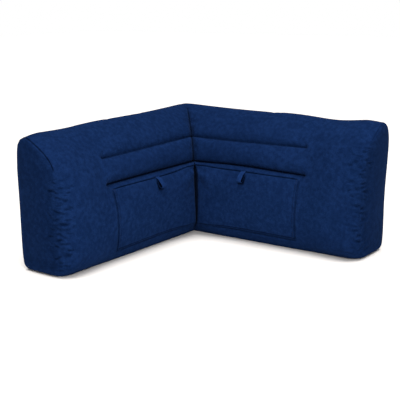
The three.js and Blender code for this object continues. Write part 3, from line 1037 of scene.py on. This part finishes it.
def pocketShade(side, face):
    # painted shade on the pocket: along its sewing and its edges, and a painted shadow under the tab
    paintedShade = np.zeros(face.shape[:2])
    hemRow, sewn = pocketMake["hemLine"], pocketMake["edgeLine"]
    paintedDark = pocketMake["paintedDark"]
    paintedShade[hemRow] = paintedDark["hem"]
    for line, sideDark, footDark in zip((sewn, -1), paintedDark["side"], paintedDark["foot"]):
        paintedShade[hemRow + 1:, line] = sideDark
        paintedShade[line] = footDark
    paintedShade[hemRow + 1:, 0] = paintedDark["mitre"]
    paintedShade[0] = paintedDark["mouth"]
    _, s, _, z = (v.reshape(face.shape[:2]) for v in armPlace(face.reshape(-1, 3)))
    middle = tabMake["middle"][side]
    down = float(np.interp(middle, s[hemRow], z[hemRow])) - z
    beside = np.abs(s - middle + tabMake["lean"][side] * down) - tabMake["width"] / 2
    under = (1 - ramp(beside, 0, tabMake["shadowBeside"])) * ramp(down, *tabMake["shadowFrom"])
    under = under * (1 - ramp(down, tabMake["drop"], tabMake["shadowBelow"]))
    return np.maximum(paintedShade, tabMake["paintedDark"] * under)


rimCrease = 0.5  # how sharp a sheet's rim stays when it is smoothed


def sheetPiece(name, face, thick, side, paintedShade, cloth, inside=None):
    # a sheet whose outer face is the given grid: a row for each height, a column for each place along the arm
    if side > 0:
        face, paintedShade = face[:, ::-1], paintedShade[:, ::-1]
    height, width = face.shape[:2]
    numbers = np.arange(height * width).reshape(height, width)
    quads = np.stack([numbers[:-1, :-1], numbers[:-1, 1:], numbers[1:, 1:], numbers[1:, :-1]], -1)
    piece = newPiece(name, face.reshape(-1, 3).tolist(), [], quads.reshape(-1, 4).tolist())
    store(piece, "paintedShade", paintedShade)
    wall = piece.modifiers.new("thickness", "SOLIDIFY")
    wall.thickness = thick / 1000
    wall.offset = -1
    wall.edge_crease_outer = wall.edge_crease_inner = rimCrease
    smoothing = piece.modifiers.new("smooth", "SUBSURF")
    smoothing.levels = smoothing.render_levels = 1
    piece.data.materials.append(cloth)
    # painted shade: the inner faces get the darker copy
    if inside:
        piece.data.materials.append(inside)
        wall.material_offset = 1
    return finished(piece)


# pull tabs: a folded strip that hangs from the hem's sewing
tabMake = {
    "middle": {-1: 482, 1: 483},  # along the arm, at the hem line
    "lean": {-1: 0.0, 1: 0.03},
    "width": 21,
    "above": 4,  # how far above the hem line it starts, and the height over which it is sewn down
    "sewn": 6,
    "sunk": 1.2,
    "drop": 41,
    "ply": 1.6,
    "loop": 8.8,  # radius of the fold at the end
    "belly": 0.45,  # how soon the front swings clear of the back
    "standOff": 2,  # how far its back hangs clear of the pocket at the fold
    "curl": 0.5,
    "paintedLightScale": 1.35,  # painted light: the tab is painted lighter, as if it caught more light
    "paintedDark": 1.0,  # painted shadow on the pocket under it, and how far beside and below it that ends
    "shadowFrom": (6, 12),
    "shadowBeside": 9,
    "shadowBelow": 11,
    "cells": {"down": 12, "fold": 10, "across": 7},
}
tabVelvetLit = velvetMaterial("navy velvet, painted lighter for the tabs", tabMake["paintedLightScale"])


def tabPath():
    # how far off the pocket and how far below the hem line, down the front, round the fold and up the back
    drop, loop, ply, sunk = (tabMake[k] for k in ("drop", "loop", "ply", "sunk"))
    cells = tabMake["cells"]
    down = np.linspace(0, drop - loop, cells["down"] + 1)
    share = down / down[-1]
    back = (ply + sunk) * clamped(down / tabMake["sewn"]) - sunk + tabMake["standOff"] * share ** 1.5
    turn = np.linspace(0, math.pi, cells["fold"] + 1)[1:-1]
    fold = np.stack([back[-1] + loop * (1 - np.cos(turn)), down[-1] + loop * np.sin(turn)], -1)
    front = back + ply + (2 * loop - ply) * share ** tabMake["belly"]
    return np.concatenate([np.stack([front, down], -1), fold[::-1], np.stack([back, down], -1)[::-1]])


def tabFace(side, pocket):
    _, s, d, z = (v.reshape(pocket.shape[:2]) for v in armPlace(pocket.reshape(-1, 3)))
    line = pocketMake["hemLine"]
    middle = tabMake["middle"][side]
    top = float(np.interp(middle, s[line], z[line])) + tabMake["above"]
    path = tabPath()
    shares = np.linspace(-1, 1, tabMake["cells"]["across"] + 1)
    strip = np.zeros((len(path), len(shares), 3))
    every = range(s.shape[1])
    for i, (off, down) in enumerate(path):
        height = top - down
        # the pocket's face at this height
        faceS, faceD = ([np.interp(-height, -z[:, c], v[:, c]) for c in every] for v in (s, d))
        for k, share in enumerate(shares):
            place = middle + share * tabMake["width"] / 2 - tabMake["lean"][side] * down
            depth = np.interp(place, faceS, faceD) + off - tabMake["curl"] * share ** 2
            strip[i, k] = place, depth, height
    return toWorld(side, strip)


# stitches
stitchMake = {
    "spacing": 0.0042,  # metres
    "length": 0.0032,
    "thick": 0.0007,
    "seed": 4,
    "uneven": (0.85, 1.1),  # least and largest size of a stitch
    "bead": {"Segments": 6, "Rings": 4, "Radius": 0.5},
    "proud": 0.0003,  # how far the thread stands off the pocket
}


def stitchTree():
    tree = bpy.data.node_groups.new("stitches along a line", "GeometryNodeTree")
    sockets = {}
    tree.interface.new_socket("Geometry", in_out="OUTPUT", socket_type="NodeSocketGeometry")
    tree.interface.new_socket("Geometry", in_out="INPUT", socket_type="NodeSocketGeometry")
    for name, kind in (("spacing", "Float"), ("length", "Float"), ("thick", "Float"), ("seed", "Int")):
        socket = tree.interface.new_socket(name, in_out="INPUT", socket_type="NodeSocket" + kind)
        sockets[name] = socket.identifier
    desk = NodeDesk(tree)
    given = desk.add("NodeGroupInput").outputs
    end = desk.add("NodeGroupOutput")
    line = desk.add("GeometryNodeMeshToCurve", Mesh=given["Geometry"])
    even = desk.add("GeometryNodeResampleCurve", {"mode": "LENGTH"}, Curve=line, Length=given["spacing"])
    bead = desk.add("GeometryNodeMeshUVSphere", **stitchMake["bead"])
    size = desk.add("ShaderNodeCombineXYZ", X=given["length"], Y=given["thick"], Z=given["thick"])
    shaped = desk.add("GeometryNodeTransform", Geometry=bead, Scale=size.outputs[0])
    along = desk.add("GeometryNodeInputTangent")
    facing = desk.add("FunctionNodeAlignRotationToVector", {"axis": "X"}, Vector=along)
    loose = desk.add("FunctionNodeRandomValue", {"data_type": "FLOAT"}, Seed=given["seed"])
    # sockets 2 and 3 are the least and the largest plain number
    loose.inputs[2].default_value, loose.inputs[3].default_value = stitchMake["uneven"]
    placed = desk.add("GeometryNodeInstanceOnPoints", Points=even, Instance=shaped, Rotation=facing)
    desk.feed(placed, "Scale", loose.outputs[1])
    real = desk.add("GeometryNodeRealizeInstances", Geometry=placed)
    coloured = desk.add("GeometryNodeSetMaterial", Geometry=real, Material=thread)
    tree.links.new(coloured.outputs[0], end.inputs[0])
    return tree, sockets


def addStitches(name, lines):
    points = np.concatenate(lines)
    edges = []
    start = 0
    for line in lines:
        edges += [(start + k, start + k + 1) for k in range(len(line) - 1)]
        start += len(line)
    piece = newPiece(name, points.tolist(), edges, [])
    tree, sockets = stitchTree()
    threading = piece.modifiers.new("stitches", "NODES")
    threading.node_group = tree
    for key, socket in sockets.items():
        threading[socket] = stitchMake[key]
    finished(piece)
    if not piece.data.materials:
        piece.data.materials.append(thread)
    return piece


for side, word in ((-1, "left"), (1, "right")):
    face = pocketFace(side)
    strip = tabFace(side, face)
    # painted shade on the pocket and a painted shadow under its tab
    held = pocketShade(side, face)
    pocket = sheetPiece("patch_pocket_" + word, face, pocketMake["thick"], side, held, velvet)
    free = np.zeros(strip.shape[:2])
    tab = sheetPiece("pull_tab_" + word, strip, tabMake["ply"], side, free, tabVelvetLit, velvetShadedInside)
    hemRow, sewn = pocketMake["hemLine"], pocketMake["edgeLine"]
    facing = np.array([0, -1, 0]) if side > 0 else np.array([1, 0, 0])
    seams = [face[hemRow], face[hemRow + 1: sewn + 1, sewn], face[sewn, : sewn + 1]]
    seams = [line + stitchMake["proud"] * facing for line in seams]
    stitches = addStitches("pocket_stitches_" + word, seams)
    for piece, node in ((pocket, "pocket_" + word), (tab, "tab_" + word)):
        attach(piece, "root")
        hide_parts(node)
    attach(stitches, "root")
print("scene: pockets, tabs and stitches sewn on")

# camera, lights and floor
photoView = {
    "pixels": 400,  # width of the picture, and the focal length in the same pixels
    "focal": 835.4,
    "sensor": 36,  # millimetres
    "farthest": 60,  # metres that the camera sees
    "pitch": 13.933,
    "yaw": 37.105,
    "roll": -0.863,
    "place": (2.276, -2.898, 0.974),  # from the outer corner of the pillow
}
studio = {
    "fill": 0.24,  # strength of the white room as light
    "backdrop": 1.0,  # and as what the camera sees
    "floor": {"Base Color": (0.9, 0.865, 0.83, 1), "Roughness": 0.9, "Specular IOR Level": 0.1},
    "floorHalf": 14,  # metres
}
# a sun's size is its angle in radians and an area's is in metres
lamps = {
    "ceiling": {"kind": "SUN", "place": (0.18, -0.14, 2.0), "aim": (0, 0, 0), "size": 1.0, "power": 3.75},
    "front": {"kind": "AREA", "place": (1.25, -1.42, 1.08), "aim": (-0.2, 0.2, 0.2), "size": 1.1, "power": 33}
}


def addCamera():
    pitch, yaw, roll = (math.radians(photoView[k]) for k in ("pitch", "yaw", "roll"))
    forward = Vector((-math.sin(yaw) * math.cos(pitch), math.cos(yaw) * math.cos(pitch), -math.sin(pitch)))
    level = Vector((math.cos(yaw), math.sin(yaw), 0))
    upright = level.cross(forward)
    right = math.cos(roll) * level + math.sin(roll) * upright
    up = math.cos(roll) * upright - math.sin(roll) * level
    camera = linked("camera", bpy.data.cameras.new("camera"))
    place = Vector(outerCorner) + Vector(photoView["place"])
    camera.matrix_world = Matrix.Translation(place) @ Matrix((right, up, -forward)).transposed().to_4x4()
    camera.data.sensor_width = photoView["sensor"]
    camera.data.lens = photoView["sensor"] * photoView["focal"] / photoView["pixels"]
    camera.data.clip_end = photoView["farthest"]
    scene.camera = camera


def addLight(name, kind, place, aim, size, power):
    light = bpy.data.lights.new(name, kind)
    light.energy = power
    if kind == "SUN":
        light.angle = size
    else:
        light.size = size
    lamp = linked(name, light)
    lamp.location = place
    lamp.rotation_euler = (Vector(aim) - Vector(place)).to_track_quat("-Z", "Y").to_euler()


def addFloor():
    half = studio["floorHalf"]
    corners = [(-half, -half, 0), (half, -half, 0), (half, half, 0), (-half, half, 0)]
    floor = newPiece("floor", corners, [], [(0, 1, 2, 3)])
    floor.data.materials.append(plainMaterial("studio floor", studio["floor"]))


addCamera()
addFloor()
for lampName, lamp in lamps.items():
    addLight(lampName, **lamp)
room = bpy.data.worlds.new("studio")
room.use_nodes = True
roomDesk = NodeDesk(room.node_tree)
seen = roomDesk.add("ShaderNodeLightPath").outputs["Is Camera Ray"]
strength = roomDesk.add("ShaderNodeMapRange", Value=seen)
setInputs(strength, {"To Min": studio["fill"], "To Max": studio["backdrop"]})
background = room.node_tree.nodes["Background"]
setInputs(background, {"Color": (1, 1, 1, 1)})
roomDesk.feed(background, "Strength", strength)
scene.world = room
scene.view_settings.view_transform = "Standard"
print("scene: camera, floor and lamps placed")

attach(cover, "root")
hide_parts("cushion")
